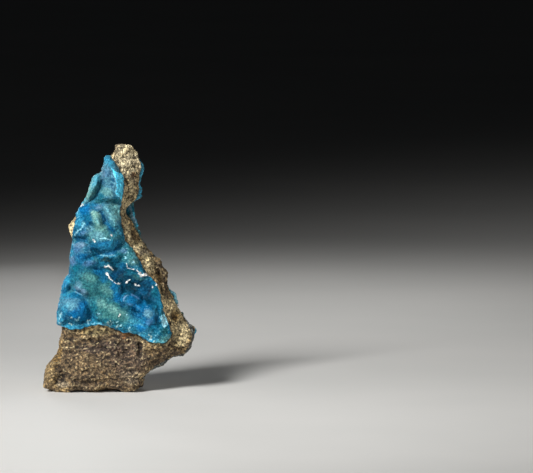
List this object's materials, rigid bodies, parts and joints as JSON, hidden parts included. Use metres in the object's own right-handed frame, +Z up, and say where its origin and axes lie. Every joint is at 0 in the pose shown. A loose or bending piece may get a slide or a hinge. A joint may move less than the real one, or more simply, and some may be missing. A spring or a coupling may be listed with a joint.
{
  "type": "hemimorphite specimen",
  "caption": "Upright wedge of brown iron-stained rock with a botryoidal blue hemimorphite crust on its front and a thinner one on its back, standing on a flat foot.",
  "frame": {"origin": "under the middle of the specimen's box, on the surface that it stands on", "axes": "+Z up, and +Y away from the viewer, from the front crust towards the back one"},
  "size_m": [0.0456, 0.0286, 0.073],
  "materials": {
    "gossan": "rough, granular, speckled tan and dark brown broken rock",
    "hemimorphite": "waxy, slightly translucent botryoidal crust, deep blue in its hollows and pale greenish blue on its domes"
  },
  "bodies": {
    "root": {"gossan_matrix": "gossan", "front_crust": "hemimorphite", "back_crust": "hemimorphite"}
  },
  "joints": []
}
